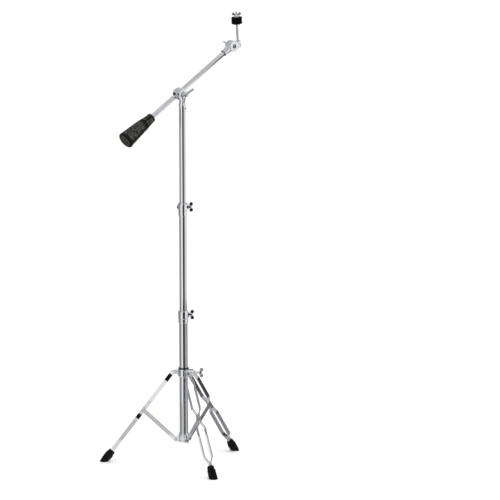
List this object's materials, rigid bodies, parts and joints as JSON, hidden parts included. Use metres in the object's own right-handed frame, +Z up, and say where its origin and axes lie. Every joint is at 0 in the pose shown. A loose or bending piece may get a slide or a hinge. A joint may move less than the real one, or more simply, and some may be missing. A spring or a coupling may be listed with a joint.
{
  "type": "cymbal boom stand",
  "caption": "Chromed cymbal boom stand: folding double-braced tripod, telescoping tubes, tilting and sliding boom arm with counterweight, and a ratchet tilter with felts.",
  "frame": {"origin": "on the floor, on the axis of the vertical tubes, at the middle of the three feet", "axes": "+Z up along the tubes; +X from the origin towards the right leg's foot; +Y completes the right-handed frame"},
  "size_m": [0.5111, 0.4976, 1.4949],
  "materials": {
    "tube_chrome": "mirror chrome plated steel tube",
    "strip_chrome": "mirror chrome plated steel strip",
    "cast_chrome": "satin chrome plated casting",
    "wing_chrome": "chrome plated casting",
    "steel_fastener": "zinc plated steel",
    "dark_steel": "blackened steel",
    "iron_core": "as cast",
    "rubber_weight": "moulded matte rubber",
    "rubber_foot": "moulded matte rubber",
    "black_nylon": "moulded nylon",
    "felt": "pressed wool felt"
  },
  "bodies": {
    "base": {"base_tube": "tube_chrome", "base_bracket": "cast_chrome", "bracket_pins": "steel_fastener", "lower_receiver": "cast_chrome"},
    "lower_bush": {"lower_bush": "black_nylon"},
    "lower_shoe": {"lower_shoe": "dark_steel"},
    "lower_bolt": {"lower_wing_bolt": "wing_chrome"},
    "collar": {"leg_collar": "cast_chrome", "collar_ring": "black_nylon"},
    "collar_shoe": {"collar_shoe": "dark_steel"},
    "collar_bolt": {"collar_wing_bolt": "wing_chrome"},
    "brace_right": {"brace_right": "strip_chrome"},
    "leg_right": {"leg_right_strip_a": "strip_chrome", "leg_right_strip_b": "strip_chrome", "leg_right_rivets": "steel_fastener", "foot_right": "rubber_foot"},
    "brace_left": {"brace_left": "strip_chrome"},
    "leg_left": {"leg_left_strip_a": "strip_chrome", "leg_left_strip_b": "strip_chrome", "leg_left_rivets": "steel_fastener", "foot_left": "rubber_foot"},
    "brace_front": {"brace_front": "strip_chrome"},
    "leg_front": {"leg_front_strip_a": "strip_chrome", "leg_front_strip_b": "strip_chrome", "leg_front_rivets": "steel_fastener", "foot_front": "rubber_foot"},
    "middle": {"mid_tube": "tube_chrome", "upper_receiver": "cast_chrome"},
    "upper_bush": {"upper_bush": "black_nylon"},
    "upper_shoe": {"upper_shoe": "dark_steel"},
    "upper_bolt": {"upper_wing_bolt": "wing_chrome"},
    "top": {"top_tube": "tube_chrome", "boom_post": "cast_chrome", "boom_post_screw": "dark_steel"},
    "holder": {"boom_holder": "cast_chrome", "holder_bolt": "steel_fastener"},
    "holder_washer": {"holder_washer": "steel_fastener"},
    "holder_nut": {"holder_wing_nut": "wing_chrome"},
    "liner": {"boom_liner": "black_nylon"},
    "boom": {"boom_tube": "tube_chrome", "weight_core": "iron_core", "weight_cover": "rubber_weight", "weight_screw": "dark_steel", "tilter_front": "cast_chrome", "tilter_ring": "black_nylon", "tilter_screw": "steel_fastener"},
    "tilter": {"tilter_rear": "cast_chrome", "tilter_rod": "strip_chrome", "rod_screw": "dark_steel", "seat_washer": "steel_fastener", "rod_sleeve": "black_nylon", "lower_felt": "felt"},
    "tilter_washer": {"tilter_washer": "steel_fastener"},
    "tilter_nut": {"tilter_wing_nut": "wing_chrome"},
    "cymbal_stack": {"upper_felt": "felt", "nut_washer": "steel_fastener"},
    "cymbal_nut": {"cymbal_wing_nut": "wing_chrome"}
  },
  "joints": [
    {"name": "collar_slide", "type": "slide", "parent": "base", "child": "collar", "axis": [0, 0, 1], "range_m": [0, 0.08]},
    {"name": "brace_right_fold", "type": "hinge", "parent": "base", "child": "brace_right", "pos_m": [0.027, 0, 0.082], "axis": [0, 1, 0], "range_deg": [-35.1, 0.1]},
    {"name": "leg_right_fold", "type": "hinge", "parent": "brace_right", "child": "leg_right", "pos_m": [0.136, 0, 0.178], "axis": [0, 1, 0], "range_deg": [-0.1, 63.2]},
    {"name": "brace_left_fold", "type": "hinge", "parent": "base", "child": "brace_left", "pos_m": [-0.0135, 0.02338, 0.082], "axis": [-0.866, -0.5, 0], "range_deg": [-35.1, 0.1]},
    {"name": "leg_left_fold", "type": "hinge", "parent": "brace_left", "child": "leg_left", "pos_m": [-0.068, 0.11778, 0.178], "axis": [-0.866, -0.5, 0], "range_deg": [-0.1, 63.2]},
    {"name": "brace_front_fold", "type": "hinge", "parent": "base", "child": "brace_front", "pos_m": [-0.0135, -0.02338, 0.082], "axis": [0.866, -0.5, 0], "range_deg": [-35.1, 0.1]},
    {"name": "leg_front_fold", "type": "hinge", "parent": "brace_front", "child": "leg_front", "pos_m": [-0.068, -0.11778, 0.178], "axis": [0.866, -0.5, 0], "range_deg": [-0.1, 63.2]},
    {"name": "lower_swivel", "type": "hinge", "parent": "base", "child": "lower_bush", "pos_m": [0, 0, 0.505], "axis": [0, 0, 1], "continuous": true},
    {"name": "middle_slide", "type": "slide", "parent": "lower_bush", "child": "middle", "axis": [0, 0, 1], "range_m": [-0.31, 0.04]},
    {"name": "upper_swivel", "type": "hinge", "parent": "middle", "child": "upper_bush", "pos_m": [0, 0, 0.869], "axis": [0, 0, 1], "continuous": true},
    {"name": "top_slide", "type": "slide", "parent": "upper_bush", "child": "top", "axis": [0, 0, 1], "range_m": [-0.31, 0.04]},
    {"name": "collar_bolt_travel", "type": "slide", "parent": "collar", "child": "collar_shoe", "axis": [0.5, -0.866, 0], "range_m": [0, 0.0025]},
    {"name": "collar_bolt_turn", "type": "hinge", "parent": "collar_shoe", "child": "collar_bolt", "pos_m": [0.0265, -0.0459, 0.31], "axis": [0.5, -0.866, 0], "range_deg": [-1, 721]},
    {"name": "lower_bolt_travel", "type": "slide", "parent": "base", "child": "lower_shoe", "axis": [0.6266, -0.7793, 0], "range_m": [0, 0.0025]},
    {"name": "lower_bolt_turn", "type": "hinge", "parent": "lower_shoe", "child": "lower_bolt", "pos_m": [0.01354, -0.01683, 0.505], "axis": [0.6266, -0.7793, 0], "range_deg": [-1, 721]},
    {"name": "upper_bolt_travel", "type": "slide", "parent": "middle", "child": "upper_shoe", "axis": [0.6266, -0.7793, 0], "range_m": [0, 0.0025]},
    {"name": "upper_bolt_turn", "type": "hinge", "parent": "upper_shoe", "child": "upper_bolt", "pos_m": [0.01253, -0.01559, 0.869], "axis": [0.6266, -0.7793, 0], "range_deg": [-1, 721]},
    {"name": "boom_tilt", "type": "hinge", "parent": "top", "child": "holder", "pos_m": [0, 0, 1.248], "axis": [-0.2284, -0.9736, 0], "range_deg": [-70, 30]},
    {"name": "holder_nut_travel", "type": "slide", "parent": "holder", "child": "holder_washer", "axis": [-0.2284, -0.9736, 0], "range_m": [0, 0.0025]},
    {"name": "holder_nut_turn", "type": "hinge", "parent": "holder_washer", "child": "holder_nut", "pos_m": [-0.00176, -0.0075, 1.248], "axis": [-0.2284, -0.9736, 0], "range_deg": [-1, 721]},
    {"name": "boom_roll", "type": "hinge", "parent": "holder", "child": "liner", "pos_m": [0.00457, 0.01947, 1.248], "axis": [0.838, -0.1966, 0.509], "continuous": true},
    {"name": "boom_slide", "type": "slide", "parent": "liner", "child": "boom", "axis": [0.838, -0.1966, 0.509], "range_m": [-0.16, 0.08]},
    {"name": "tilter_tilt", "type": "hinge", "parent": "boom", "child": "tilter", "pos_m": [0.22412, -0.03202, 1.38137], "axis": [-0.2284, -0.9736, 0], "range_deg": [-78, 75]},
    {"name": "tilter_nut_travel", "type": "slide", "parent": "boom", "child": "tilter_washer", "axis": [0.2284, 0.9736, 0], "range_m": [0, 0.0025]},
    {"name": "tilter_nut_turn", "type": "hinge", "parent": "tilter_washer", "child": "tilter_nut", "pos_m": [0.22412, -0.03202, 1.38137], "axis": [0.2284, 0.9736, 0], "range_deg": [-1, 721]},
    {"name": "cymbal_nut_lift", "type": "slide", "parent": "tilter", "child": "cymbal_stack", "axis": [-0.0594, 0.0139, 0.9981], "range_m": [0, 0.012]},
    {"name": "cymbal_nut_turn", "type": "hinge", "parent": "cymbal_stack", "child": "cymbal_nut", "pos_m": [0.2501, -0.03709, 1.38299], "axis": [-0.0594, 0.0139, 0.9981], "range_deg": [-1, 4321]}
  ],
  "couplings": [
    {"joint": "brace_right_fold", "follows": "collar_slide", "rad_per_m": -7.6367},
    {"joint": "leg_right_fold", "follows": "collar_slide", "rad_per_m": 13.767},
    {"joint": "brace_left_fold", "follows": "collar_slide", "rad_per_m": -7.6367},
    {"joint": "leg_left_fold", "follows": "collar_slide", "rad_per_m": 13.767},
    {"joint": "brace_front_fold", "follows": "collar_slide", "rad_per_m": -7.6367},
    {"joint": "leg_front_fold", "follows": "collar_slide", "rad_per_m": 13.767},
    {"joint": "collar_bolt_turn", "follows": "collar_bolt_travel", "rad_per_m": 5026.5},
    {"joint": "lower_bolt_turn", "follows": "lower_bolt_travel", "rad_per_m": 5026.5},
    {"joint": "upper_bolt_turn", "follows": "upper_bolt_travel", "rad_per_m": 5026.5},
    {"joint": "holder_nut_turn", "follows": "holder_nut_travel", "rad_per_m": 5026.5},
    {"joint": "tilter_nut_turn", "follows": "tilter_nut_travel", "rad_per_m": 5026.5},
    {"joint": "cymbal_nut_turn", "follows": "cymbal_nut_lift", "rad_per_m": 6283.2}
  ]
}
